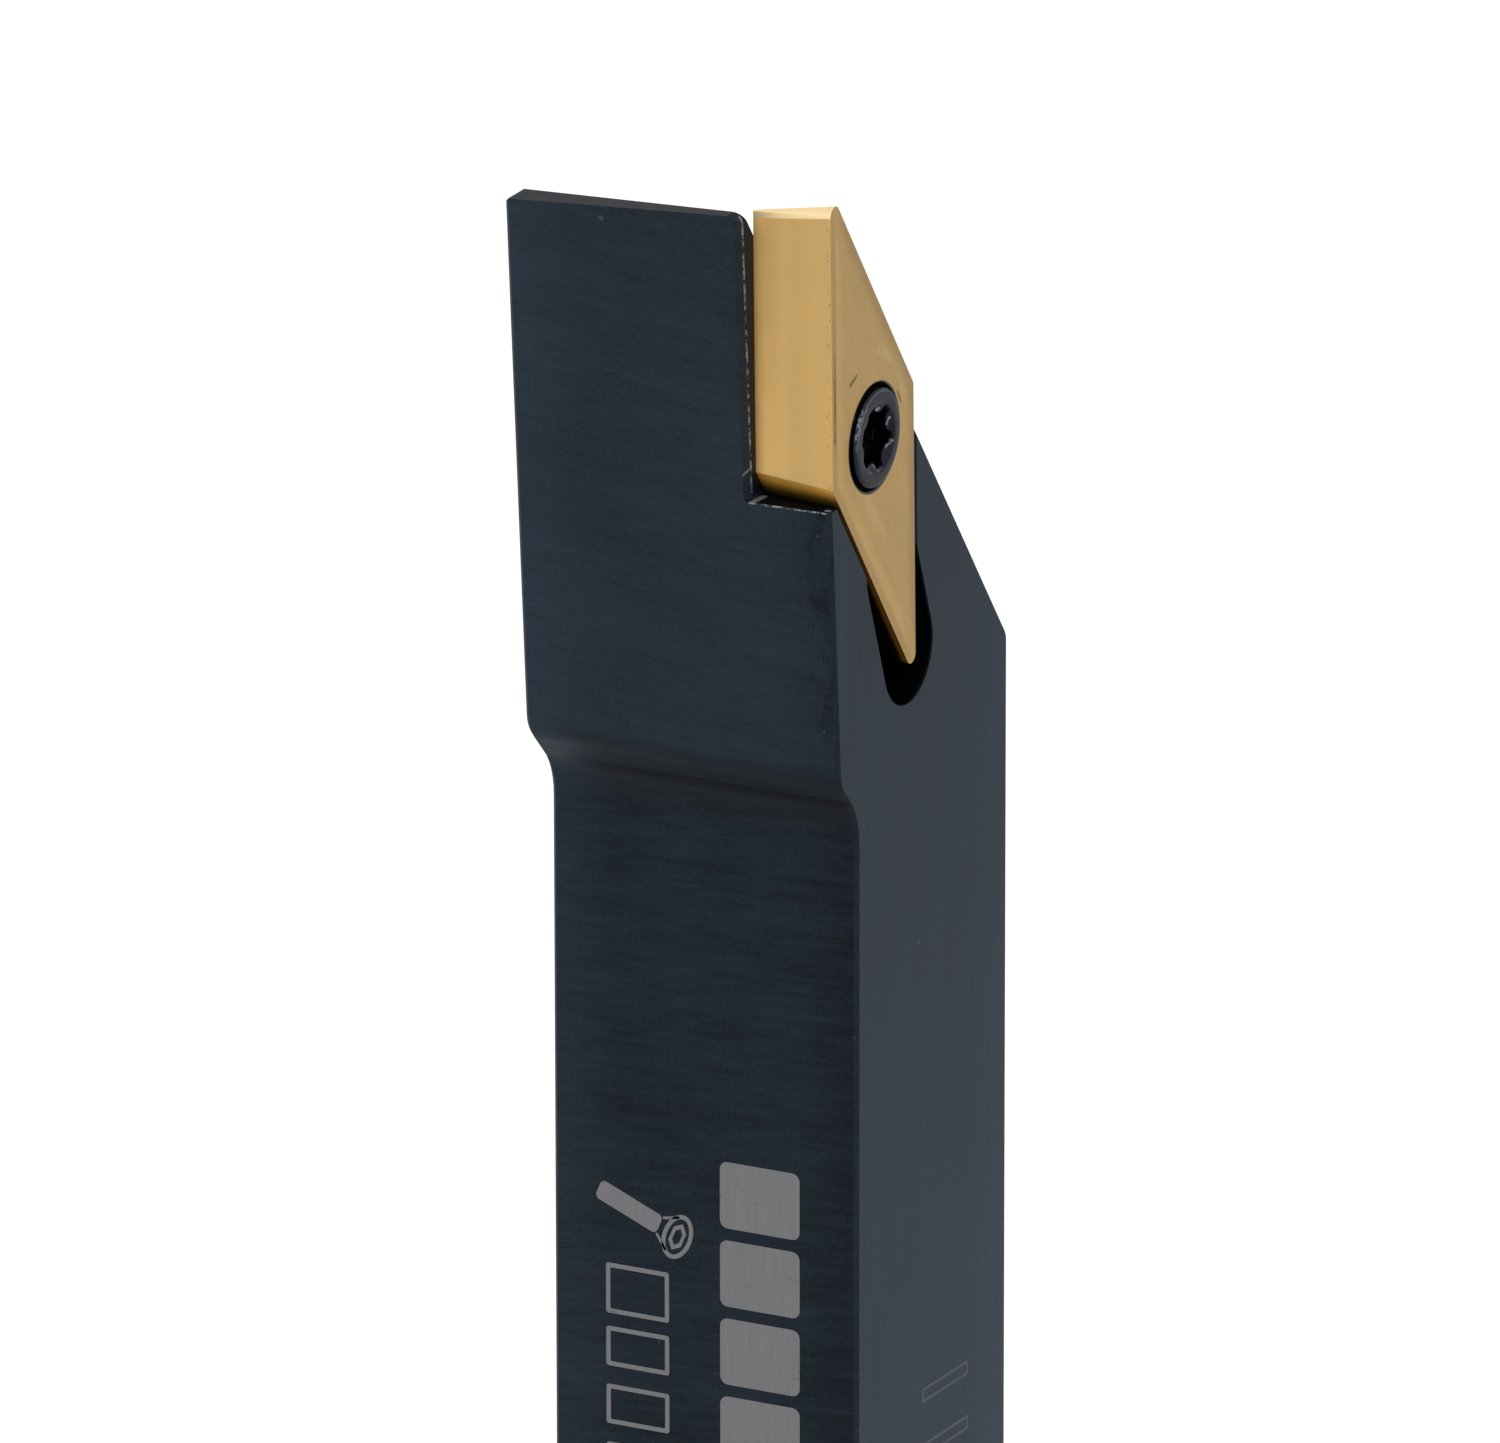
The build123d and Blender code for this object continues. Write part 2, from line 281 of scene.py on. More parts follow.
def holder_steel(material):
    """Black-oxide steel, ground in straight lines, with bare bright specks on its sharpest edges. It also
    carries painted light: paler and darker bands on its faces, a painted highlight and glint by the shelf,
    and painted shade and shadow under the step, in the pocket, in the slot and in the thread.
    """
    sh = Shader(material)
    p, n = sh.place()
    x, y, z = sh.split(p)
    nx, ny, nz = sh.split(n)
    across, along, depth, inward = insert_axes(sh, p)
    on_side = sh.ramp(nx, -0.72, -0.92)
    facing = sh.ramp(ny, -0.55, -0.90)
    on_rake = sh.times(facing, sh.ramp(depth, 0.5, 0.3))
    on_floor = sh.times(facing, sh.ramp(depth, 2.6, 2.9))
    on_head = sh.ramp(z, *head_foot_z)

    # Grinding lines: across the bar on its sides, along it on the rake side. They slant one way on the
    # shank and the other way on the head.
    shank_slant, head_slant = 0.07, -0.13
    slanted = sh.join(x, y, sh.plus(z, y, sh.plus(shank_slant, on_head, head_slant - shank_slant)))
    coarse = sh.noise(sh.stretch(slanted, (0.3, 0.42, 3.2)), 5.0, 0.66)
    fine = sh.noise(sh.stretch(slanted, (1.0, 0.6, 12.0)), 2.0, 0.5)
    drawn = sh.noise(sh.stretch(p, (8.5, 1.0, 0.13)), 3.0, 0.6)
    lines = sh.plus(sh.times(coarse, 0.65), fine, 0.35)
    grind = sh.plus(lines, sh.minus(drawn, lines), on_rake)
    line_strength = sh.plus(sh.plus(1.15, on_head, -0.30), on_rake, -0.30)

    # Unevenness: ribs by the ridge on the head's rake side, broad bands round the bar, clouds and grain
    ribs = sh.noise(sh.stretch(p, (8.0, 0.0, 0.07)), 2.0, 0.6)
    ribs = sh.times(sh.minus(ribs, 0.5), sh.ramp(x, -2.8, -5.0), sh.ramp(z, 57.0, 61.0), on_rake)
    bands = sh.noise(sh.stretch(slanted, (0.2, 0.13, 0.85)), 4.0, 0.6)
    bands = sh.times(sh.minus(bands, 0.5), sh.without(on_rake))
    cloud = sh.noise(sh.stretch(p, (0.16, 0.16, 0.09)), 3.0, 0.5)
    grain = sh.noise(p, 3.0, 0.75, scale=6.0)
    shade = sh.sway(1.0, grind, line_strength)
    shade = sh.plus(shade, ribs, 1.1)
    shade = sh.plus(shade, bands, 0.55)
    shade = sh.sway(shade, cloud, 0.40)
    shade = sh.sway(shade, grain, 0.85)

    # Painted light on the cutting side: paler by the base and low on the head, darker by the ridge and on
    # the shank
    side_painted_light = sh.plus(sh.ramp(y, -3.2, -6.0, 0.0, -0.22), sh.ramp(y, 3.0, 6.0), 0.32)
    side_painted_light = sh.plus(side_painted_light, sh.ramp(z, 66.0, 61.0), sh.times(on_head, 0.12))
    side_painted_light = sh.plus(side_painted_light, sh.minus(on_head, 1.0), 0.30)
    shade = sh.plus(shade, side_painted_light, on_side)
    # Darker in patches by the ridge on the head's cutting side
    ridge_patches = sh.noise(sh.stretch(p, (1.0, 1.6, 0.55)), 4.0, 0.7)
    by_ridge = sh.window(y, -6.0, -5.8, -5.3, -4.9)
    ridge_patches = sh.times(sh.ramp(ridge_patches, 0.46, 0.62), by_ridge, on_head, on_side)
    shade = sh.plus(shade, ridge_patches, -0.30)
    # Painted shade on the rounded ridge between the cutting and rake sides, which dims its highlight
    rounding = sh.times(sh.without(on_side), sh.without(facing))
    ridge_painted_shade = sh.times(rounding, sh.ramp(nx, 0.0, -0.2), sh.ramp(ny, 0.0, -0.2))
    shade = sh.plus(shade, ridge_painted_shade, -0.48)

    # Colour of the oxide: bluish black; on the rake side, painted light makes it darker near the head and
    # paler towards the shank end and towards the back
    rake = sh.mix(sh.ramp(z, 68.0, 22.0), rake_painted_dark_head, rake_painted_pale_shank)
    rake = sh.scaled(rake, sh.plus(1.0, sh.ramp(x, 2.5, 5.6), 0.18))
    colour = sh.scaled(sh.mix(on_rake, oxide, rake), shade)

    # Under the step, where the surface faces down: painted shade, dark in a line in the lower half of its
    # curve and softer round it
    fold_shade = sh.window(x, -6.86, -6.73, -6.52, -6.38)
    crease_shade_mask = sh.plus(sh.ramp(nz, -0.10, -0.40, 0.0, 0.42), fold_shade, 0.55)
    crease_shade_mask = sh.times(crease_shade_mask, sh.ramp(nz, 0.0, -0.1), sh.ramp(nx, -0.3, -0.5))
    crease_shade_mask = sh.times(crease_shade_mask, sh.window(z, 50.0, 52.0, 59.0, 60.0), sh.ramp(y, 5.3, 3.0))
    colour = sh.mix(crease_shade_mask, colour, crease_painted_shade)
    # Painted shade: the head's end face, which faces up, is darker
    colour = sh.mix(sh.times(sh.ramp(nz, 0.7, 0.9), sh.ramp(z, *head_end_z)), colour, head_end_painted_shade)

    # Painted shade and shadow: the pocket floor is darker inside its bevel, and the shelf, the relief slot
    # and the gap under the insert are black
    bevel_x = sh.plus(bevel_root_x, sh.minus(z, shelf_z), bevel_slope)
    past_bevel = sh.minus(x, bevel_x)
    colour = sh.mix(sh.times(on_floor, sh.ramp(past_bevel, -0.06, 0.04)), colour, floor_painted_shade)
    below_shelf = sh.minus(shelf_z, z)
    off_shelf = sh.size(below_shelf)
    shelf_shadow = sh.times(sh.ramp(nz, 0.8, 0.95), sh.ramp(off_shelf, 0.05, 0.02))
    colour = sh.mix(shelf_shadow, colour, shelf_painted_shadow)
    from_end = sh.minus(along, slot_end)
    past_end = sh.minus(from_end, sh.math("MINIMUM", sh.either(from_end, 0.0), slot_length))
    from_slot = sh.distance(sh.minus(across, slot_shift), past_end)
    slot_shadow = sh.ramp(from_slot, slot_radius + 0.06, slot_radius - 0.02)
    slot_shadow = sh.times(slot_shadow, sh.window(depth, 0.0, 0.12, slot_depth, slot_depth + 0.1))
    above_floor = sh.ramp(depth, floor_depth + 0.17, floor_depth + 0.07)
    shadow_under_insert = sh.times(sh.ramp(inward, -0.16, -0.08), sh.ramp(depth, 0.3, 0.8), above_floor)
    colour = sh.mix(sh.either(slot_shadow, shadow_under_insert), colour, slot_painted_shadow)

    # Brown in a thin strip on the floor along the insert's foot
    foot = sh.times(on_floor, sh.ramp(inward, -0.14, -0.06), sh.ramp(z, shelf_z + 0.2, shelf_z + 0.7))
    colour = sh.mix(sh.times(foot, 0.7), colour, foot_brown)

    # Bare metal in dashes on the bevel's inner edge and on the shelf's edge
    dash = sh.ramp(sh.noise(sh.stretch(p, (2.0, 2.6, 3.4)), 4.0, 0.8, scale=1.6), 0.44, 0.58)
    bevel_edge = sh.times(sh.ramp(sh.size(past_bevel), 0.075, 0.030), sh.ramp(depth, 2.9, 3.0))
    bevel_edge = sh.times(bevel_edge, above_floor, sh.ramp(z, shelf_z + 0.1, shelf_z + 0.3))
    shelf_edge = sh.times(on_side, sh.window(below_shelf, -0.03, 0.0, 0.04, 0.085))
    shelf_edge = sh.times(shelf_edge, sh.ramp(y, -3.2, -3.5))
    bare_and_glint = sh.times(sh.either(sh.times(bevel_edge, 0.8), sh.times(shelf_edge, 0.75)), dash)

    # A painted highlight along the shelf's root and a painted glint on the shelf's corner, and bare metal
    # in a scrape on the floor and as dust
    root_highlight = sh.stroke(x, y, (-8.45, -3.02), (-7.50, -3.10), 0.17)
    root_highlight = sh.times(root_highlight, sh.ramp(off_shelf, 0.08, 0.04))
    scrape = sh.stroke(x, z, (-8.42, shelf_z + 0.92), (-8.05, shelf_z + 1.08), 0.07)
    scrape = sh.times(scrape, on_floor)
    corner_glint = sh.distance(sh.minus(x, -7.93), sh.minus(y, -5.80), sh.minus(z, shelf_z))
    corner_glint = sh.ramp(corner_glint, 0.15, 0.08)
    dust = sh.ramp(sh.noise(p, 1.0, 0.4, scale=2.3), 0.80, 0.83)
    for mark, strength in ((root_highlight, 0.62), (scrape, 0.45), (corner_glint, 0.8), (dust, 0.10)):
        bare_and_glint = sh.either(bare_and_glint, sh.times(mark, strength))
    colour = sh.mix(bare_and_glint, colour, bare_steel_and_glint)

    # Thread in the tapped hole: painted shade in helical stripes for its grooves, with a bump
    dx, dz = sh.minus(x, screw_x), sh.minus(z, screw_z)
    in_hole = sh.ramp(sh.distance(dx, dz), hole_radius + 0.06, hole_radius + 0.02)
    turn = sh.math("DIVIDE", sh.math("ARCTAN2", dz, dx), 2 * pi)
    rise = sh.math("FRACT", sh.plus(turn, sh.math("DIVIDE", y, thread_pitch)))
    ridge = sh.times(sh.size(sh.minus(rise, 0.5)), 2.0, in_hole)
    colour = sh.mix(sh.times(ridge, 0.7), colour, thread_painted_shade)

    rough = sh.plus(sh.plus(0.36, grind, 0.16), bare_and_glint, -0.10)
    relief = sh.plus(sh.times(ridge, -2.0), grind, 0.05)
    sh.finish(colour, sh.times(bare_and_glint, 0.6), rough, relief, bump_height=0.05, specular=0.06)


# ---- Insert ----------------------------------------------------------------
gold_flank = rgb(0.535, 0.342, 0.122)
gold_rake = rgb(0.418, 0.263, 0.081)
gold_nose_highlight = rgb(0.925, 0.705, 0.380)
gold_rear_reflection = rgb(0.62, 0.32, 0.050)
gold_rubbed = rgb(0.62, 0.47, 0.24)
edge_brown = rgb(0.20, 0.09, 0.01)
build_up = rgb(0.085, 0.045, 0.015)
flank_shade_brown = rgb(0.30, 0.135, 0.020)
flank_painted_shadow = rgb(0.0060, 0.0030, 0.0010)
sink_painted_shade = rgb(0.16, 0.085, 0.024)
sink_painted_shadow = rgb(0.0030, 0.0028, 0.0025)
sink_rim_shadow = rgb(0.0060, 0.0050, 0.0040)


def insert_coating(material):
    """Titanium nitride gold on ground carbide, with painted light: a highlight on the nose, brightening at
    the flanks' foot, a reflection on the rear flanks, and shade and shadow on the flanks and in the
    countersink.
    """
    sh = Shader(material)
    p, n = sh.place()
    x, _, z = sh.split(p)
    nx, ny, nz = sh.split(n)
    across, along, depth, inward = insert_axes(sh, p)
    on_rake = sh.ramp(ny, -0.6, -0.9)
    off_rake = sh.without(on_rake)

    cloud = sh.noise(sh.stretch(p, (0.8, 0.8, 0.45)), 4.0, 0.55)
    smear = sh.join(sh.times(across, 1.1), depth, sh.plus(sh.times(along, 0.7), across, 1.6))
    smear = sh.noise(smear, 4.0, 0.62, distortion=0.5)
    grain = sh.noise(sh.stretch(p, (9.0, 9.0, 9.0)), 3.0, 0.65)
    ground = sh.noise(sh.stretch(sh.join(across, depth, along), (2.0, 14.0, 0.5)), 3.0, 0.6)

    # Gold: duller on the rake face, and brighter towards the foot of the flanks as painted light
    colour = sh.mix(on_rake, gold_flank, gold_rake)
    foot_painted_light = sh.plus(0.08, sh.ramp(depth, 1.4, 2.5), 0.20)
    foot_painted_light = sh.plus(foot_painted_light, sh.ramp(depth, 2.3, 3.1), 0.80)
    foot_painted_light = sh.times(foot_painted_light, off_rake, sh.ramp(z, 68.6, 69.2))
    colour = sh.scaled(colour, sh.plus(1.0, foot_painted_light))

    # Paler as a painted highlight on the ground nose, whose strip runs down the flank, and red gold as a
    # painted reflection on the rear flanks, fading to painted shade towards the shelf
    nose_highlight = sh.times(sh.ramp(nz, 0.10, 0.20), sh.ramp(z, nose_z - 0.3, nose_z))
    strip_highlight = sh.ramp(sh.plus(z, depth, 0.163), nose_z + 0.37, nose_z + 0.42)
    strip_highlight = sh.times(strip_highlight, sh.ramp(nx, -0.9, -0.97))
    colour = sh.mix(sh.times(sh.either(nose_highlight, strip_highlight), off_rake), colour, gold_nose_highlight)
    rear_flank_light = sh.times(sh.ramp(nz, -0.4, -0.6), off_rake)
    rear_reflection_gold = sh.scaled(gold_rear_reflection, sh.ramp(z, shelf_z + 0.05, shelf_z + 0.72, 0.16, 1.66))
    colour = sh.mix(rear_flank_light, colour, rear_reflection_gold)

    # Cloudy and grainy; painted shade by the rake face's far edge, paler in a band along its main edge
    shade = sh.sway(1.0, cloud, 0.16)
    shade = sh.sway(shade, grain, 0.10)
    shade = sh.plus(shade, sh.times(sh.minus(smear, 0.5), on_rake), 0.30)
    far_rim_shade = sh.times(sh.ramp(inward, 0.75, 0.05), sh.ramp(across, 0.1, 0.6), on_rake)
    shade = sh.plus(shade, far_rim_shade, -0.24)
    main_half = sh.times(sh.ramp(across, 0.0, -0.3), on_rake)
    shade = sh.plus(shade, sh.times(sh.window(inward, 0.34, 0.44, 0.6, 1.0), main_half), 0.12)
    colour = sh.scaled(colour, shade)
    colour = sh.mix(sh.times(main_half, sh.ramp(inward, 0.36, 0.26), 0.20), colour, edge_brown)

    # Rubbed streaks on the rake face
    streaks = 0.0
    for a, b, width in (
        ((-4.27, 73.02), (-2.93, 72.19), 0.30),
        ((-2.93, 72.19), (-2.29, 70.79), 0.30),
        ((-5.20, 67.81), (-3.86, 65.75), 0.34),
    ):
        streaks = sh.either(streaks, sh.stroke(x, z, a, b, width))
    streaks = sh.times(streaks, sh.ramp(cloud, 0.30, 0.60), on_rake)
    colour = sh.mix(sh.times(streaks, 0.20), colour, gold_rubbed)

    # Brown line of build-up just inside the main cutting edge, nicks, and pits along the flank's top
    line = sh.times(sh.stroke(x, z, (-7.84, 76.0), (-7.76, 70.63), 0.09), on_rake)
    broken = sh.ramp(sh.noise(sh.join(0.0, 0.0, along), 4.0, 0.65, scale=1.3), 0.36, 0.54)
    line = sh.times(line, broken, sh.ramp(z, 76.2, 72.0))
    left_nick = sh.stroke(x, z, (-6.60, 72.40), (-6.12, 72.60), 0.11)
    right_nick = sh.stroke(x, z, (-2.88, 71.10), (-2.62, 70.65), 0.07)
    nicks = sh.times(sh.either(left_nick, right_nick), on_rake)
    pits = sh.ramp(sh.noise(sh.stretch(p, (11.0, 11.0, 8.0)), 1.0, 0.4), 0.62, 0.70)
    pits = sh.times(pits, sh.window(depth, 0.0, 0.06, 0.16, 0.30), off_rake, sh.ramp(nz, -0.2, -0.1))
    dark = sh.either(sh.times(line, 0.8), sh.times(pits, 0.32), sh.times(nicks, 0.7))
    colour = sh.mix(dark, colour, build_up)

    # Behind the side corner the flanks are painted in shadow: brown shade at the edge, black further down
    shadowed_flanks = sh.times(off_rake, sh.ramp(z, 68.3, 67.6))
    colour = sh.mix(sh.times(shadowed_flanks, sh.ramp(depth, 0.02, 0.10)), colour, flank_shade_brown)
    colour = sh.mix(sh.times(shadowed_flanks, sh.ramp(depth, 0.12, 0.36)), colour, flank_painted_shadow)

    # Countersink: painted shade, brown inside, with a black painted shadow at its mouth and round its
    # broken edge
    hole = sh.distance(sh.minus(x, screw_x), sh.minus(z, screw_z))
    sink_shade_mask = sh.times(off_rake, sh.ramp(hole, sink_radius + 0.05, sink_radius - 0.03))
    colour = sh.mix(sink_shade_mask, colour, sink_painted_shade)
    colour = sh.mix(sh.times(sink_shade_mask, sh.ramp(hole, 1.70, 1.80)), colour, sink_painted_shadow)
    rim_shadow_mask = sh.distance(sh.minus(x, screw_x - 0.06), sh.minus(z, screw_z + 0.03))
    rim_shadow_mask = sh.times(on_rake, sh.ramp(rim_shadow_mask, sink_radius + 0.04, sink_radius - 0.02))
    colour = sh.mix(rim_shadow_mask, colour, sink_rim_shadow)

    rough = sh.plus(sh.plus(0.36, cloud, 0.12), dark, 0.2)
    relief = sh.plus(sh.times(ground, 0.5), grain, 0.5)
    relief = sh.plus(relief, pits, -0.8)
    sh.finish(colour, 0.45, rough, relief, bump_height=0.004, specular=0.2)


# ---- Screw -----------------------------------------------------------------
screw_dark = rgb(0.0135, 0.0160, 0.0210)
screw_painted_sheen = rgb(0.0175, 0.0225, 0.0345)
screw_rubbed_and_glint = rgb(0.38, 0.42, 0.49)
socket_painted_shadow = rgb(0.0008, 0.0008, 0.001)


def screw_steel(material):
    """Screw steel, turned in rings and rubbed bright where a driver bears, with painted sheen, painted
    highlights and glints, and painted shadow in its socket.
    """
    sh = Shader(material)
    p, _ = sh.place()
    x, depth, z = sh.split(sh.vector("SUBTRACT", p, (screw_x, screw_top, screw_z)))
    radius = sh.distance(x, z)
    rings = sh.noise(sh.join(sh.times(radius, 14.0), 0.0, sh.times(depth, 9.0)), 3.0, 0.6)
    patches = sh.noise(p, 3.0, 0.6, scale=2.1)
    shade = sh.sway(sh.sway(1.0, rings, 0.7), patches, 0.9)
    # Painted sheen: paler and bluer towards the sides of the ring round the socket
    off_middle = sh.size(sh.plus(sh.times(z, -0.3), x, 0.9))
    sheen_mask = sh.times(sh.ramp(radius, 1.28, 1.36), sh.ramp(off_middle, 0.2, 1.4))
    colour = sh.scaled(sh.mix(sheen_mask, screw_dark, screw_painted_sheen), shade)

    # Rubbed bright: scratches round the rim's upper left; painted highlights: a thin line on its right and
    # on its crest
    turn = sh.times(sh.math("ARCTAN2", z, sh.times(x, -1.0)), 7.0)
    scratch = sh.noise(sh.join(sh.times(radius, 11.0), turn, 0.0), 3.0, 0.7)
    rub_and_glint = sh.times(sh.window(radius, 1.52, 1.62, 1.76, 1.80), sh.ramp(scratch, 0.44, 0.62))
    rub_and_glint = sh.times(rub_and_glint, sh.ramp(x, -0.5, -1.1), sh.window(z, -0.3, 0.6, 1.2, 1.6), 0.6)
    brim_highlight = sh.times(sh.window(radius, 1.69, 1.74, 1.77, 1.80), sh.ramp(x, 0.2, 0.9))
    crest_highlight = sh.times(sh.window(radius, 1.60, 1.66, 1.69, 1.74), sh.ramp(z, -0.1, 0.7), sh.ramp(x, 0.9, 0.2))
    rub_and_glint = sh.either(rub_and_glint, sh.times(brim_highlight, 0.18), sh.times(crest_highlight, 0.16))

    # The socket's mouth rubbed at the bottom, and painted glints on three of its lobes
    mouth = sh.times(sh.window(depth, -0.075, -0.06, 0.05, 0.10), sh.ramp(radius, 1.27, 1.24))
    mouth = sh.times(mouth, sh.ramp(patches, 0.42, 0.60), sh.ramp(z, -0.5, -0.9), sh.ramp(x, 0.45, 0.25))
    rub_and_glint = sh.either(rub_and_glint, sh.times(mouth, 0.30))
    for a, b in (
        ((1.06, 0.42), (0.91, 0.24)),
        ((1.14, -0.42), (0.84, -0.58)),
        ((0.30, 1.00), (0.05, 0.99)),
    ):
        glint = sh.times(sh.stroke(x, z, a, b, 0.075), sh.ramp(depth, 0.3, 0.1), 0.7)
        rub_and_glint = sh.either(rub_and_glint, glint)
    colour = sh.mix(rub_and_glint, colour, screw_rubbed_and_glint)

    # Painted shadow: black in the socket and on the head's side wall
    socket_shadow = sh.times(sh.window(depth, 0.0, 0.12, 0.90, 0.96), sh.ramp(radius, 1.3, 1.24))
    side_wall_shadow = sh.times(sh.ramp(depth, -0.03, 0.03), sh.ramp(radius, 1.70, 1.75))
    colour = sh.mix(sh.either(socket_shadow, side_wall_shadow), colour, socket_painted_shadow)
    rough = sh.plus(0.28, rings, 0.18)
    sh.finish(colour, sh.times(rub_and_glint, 0.5), rough, rings, bump_height=0.004, specular=0.07)


# Six-lobe socket: arcs of an outer circle between round bulges
socket_radius = 1.225
bulge_centre = 1.38
bulge_radius = 0.48
first_bulge = radians(15.0)
tip_ease = 0.05


def lobe_radius(angle):
    """Socket's outline at an angle, with eased tips."""
    step = 2 * pi / 6
    off = (angle - first_bulge + step / 2) % step - step / 2
    reach = bulge_radius**2 - (bulge_centre * sin(off)) ** 2
    if reach <= 0:
        return socket_radius
    edge = bulge_centre * cos(off) - reach**0.5
    h = min(max(0.5 + 0.5 * (socket_radius - edge) / tip_ease, 0.0), 1.0)
    return socket_radius + (edge - socket_radius) * h - tip_ease * h * (1.0 - h)


# The screw's rows of points from the socket's floor to the tip. Depths are below the solid screw's top.
around = 180  # points in a row
socket_floor = 0.84
# Share of the outline's radius, and depth
socket_profile = ((0.45, 0.80), (0.80, 0.745), (0.97, 0.72), (1.0, 0.68), (1.0, 0.40))
# Distance out from the outline, and how far it is sunk below the mouth's funnel
mouth_profile = ((0.0, 0.045), (0.006, 0.018), (0.022, 0.004), (0.04, 0.0))
# Distance out from the outline, and the least radius
lip_profile = ((0.045, 1.128), (0.05, 1.135))
mouth_depth = -0.08
funnel_radius, funnel_depth = 1.25, 0.12
# Radius and depth
crown_profile = (
    (1.27, -0.082), (1.30, -0.092), (1.36, -0.100), (1.46, -0.103), (1.58, -0.102), (1.66, -0.096),
    (1.71, -0.080), (1.745, -0.052), (1.768, -0.015), (1.775, 0.03), (1.775, 0.07), (1.772, 0.080),
)
head_cone_radius, head_cone_depth = 1.774, 0.076
head_cone_slope = tan(radians(30.0))
head_cone_rows = 8
neck_radius, neck_length = 0.98, 0.12
thread_end = 6.78
thread_fade = 0.35  # length over which the teeth grow and run out
tooth_steepness = 2.3
tooth_gain, tooth_trim = 1.25, 0.06  # flatten the crests and widen the roots
tooth_at_end = 0.25
rows_per_turn = 12
end_profile = ((0.90, 6.83), (0.55, 6.845))
end_depth = 6.85
sharp_angle = radians(38.0)


def thread_radius(depth, angle, start):
    """Screw's radius where start is the thread's upper end: teeth that grow in and run out at the tip."""
    phase = (depth / thread_pitch - angle / (2 * pi)) % 1.0
    tooth = 1.0 - min(abs(phase - 0.5) * tooth_steepness, 1.0)
    tooth = min(max(tooth * tooth_gain - tooth_trim, 0.0), 1.0)
    fade = min(1.0, (depth - start) / thread_fade, tooth_at_end + (thread_end - depth) / thread_fade)
    return thread_root + (thread_crest - thread_root) * tooth * max(fade, 0.0)


def make_screw():
    angles = [2 * pi * i / around for i in range(around)]
    outline = [lobe_radius(a) for a in angles]

    def funnel(r):
        return mouth_depth + min(max(funnel_radius - r, 0.0), funnel_depth)

    rows = [[(r * share, depth) for r in outline] for share, depth in socket_profile]
    for spread, sink in mouth_profile:
        rows.append([(r + spread, funnel(r + spread) + sink) for r in outline])
    for spread, least in lip_profile:
        lip = [max(r + spread, least) for r in outline]
        rows.append([(r, funnel(r)) for r in lip])
    for r, depth in crown_profile:
        rows.append([(r, depth)] * around)
    neck_depth = head_cone_depth + (head_cone_radius - neck_radius) / head_cone_slope
    for k in range(1, head_cone_rows):
        r = head_cone_radius + (neck_radius - head_cone_radius) * k / head_cone_rows
        rows.append([(r, head_cone_depth + (head_cone_radius - r) / head_cone_slope)] * around)
    rows.append([(neck_radius, neck_depth)] * around)
    start = neck_depth + neck_length
    steps = int((thread_end - start) / thread_pitch * rows_per_turn)
    for k in range(steps + 1):
        depth = start + (thread_end - start) * k / steps
        rows.append([(thread_radius(depth, a, start), depth) for a in angles])
    for r, depth in end_profile:
        rows.append([(r, depth)] * around)

    mesh = bpy.data.meshes.new("insert_screw_body")
    bm = bmesh.new()

    def vert(r, depth, a):
        return bm.verts.new(Vector((screw_x + r * cos(a), screw_top + depth, screw_z + r * sin(a))) * MM)

    grid = [[vert(r, depth, a) for (r, depth), a in zip(row, angles)] for row in rows]
    for upper, lower in zip(grid, grid[1:]):
        for i in range(around):
            j = (i + 1) % around
            bm.faces.new((upper[i], lower[i], lower[j], upper[j]))
    for ring, depth, flip in ((grid[0], socket_floor, False), (grid[-1], end_depth, True)):
        middle = bm.verts.new(Vector((screw_x, screw_top + depth, screw_z)) * MM)
        for i in range(around):
            j = (i + 1) % around
            bm.faces.new((ring[j], ring[i], middle) if flip else (ring[i], ring[j], middle))
    bmesh.ops.recalc_face_normals(bm, faces=bm.faces)
    bm.to_mesh(mesh)
    bm.free()
    mesh.shade_smooth()
    mesh.set_sharp_from_angle(angle=sharp_angle)
    piece = bpy.data.objects.new("insert_screw_body", mesh)
    scene.collection.objects.link(piece)
    return piece


# ---- Laser marks: plain blocks, a screw sign, hollow boxes and bars --------
mark_nick = rgb(0.03, 0.035, 0.04)
mark_top = 0.004  # above the steel
mark_foot = 0.0005


def laser_mark(material, light, dark):
    """Laser-engraved oxide: pale grey, hatched in fine lines."""
    sh = Shader(material)
    p, _ = sh.place()
    hatch = sh.noise(sh.stretch(p, (2.0, 9.0, 0.6)), 3.0, 0.6)
    nick = sh.ramp(sh.noise(sh.stretch(p, (1.0, 0.7, 5.0)), 2.0, 0.5), 0.70, 0.76)
    colour = sh.mix(sh.times(nick, 0.35), sh.mix(hatch, light, dark), mark_nick)
    sh.finish(colour, 0.0, sh.plus(0.5, hatch, 0.2), hatch, bump_height=0.002, specular=0.15)


def turned(loop, u, v, lean):
    """Loop turned by lean about its middle and moved to u, v."""
    return [(u + a * cos(lean) - b * sin(lean), v + a * sin(lean) + b * cos(lean)) for a, b in loop]


def rounded(u, v, width, height, radius, lean=0.0, points=6):
    """Outline of a rounded rectangle about u, v."""
    loop = []
    for k, (su, sv) in enumerate(((1, 1), (-1, 1), (-1, -1), (1, -1))):
        for i in range(points):
            a = pi / 2 * (k + i / (points - 1))
            corner_u, corner_v = su * (width / 2 - radius), sv * (height / 2 - radius)
            loop.append((corner_u + radius * cos(a), corner_v + radius * sin(a)))
    return turned(loop, u, v, lean)


def oval(u, v, width, height, lean, points=40, start=0.0):
    angles = [2 * pi * i / points + start for i in range(points)]
    return turned([(width / 2 * cos(a), height / 2 * sin(a)) for a in angles], u, v, lean)


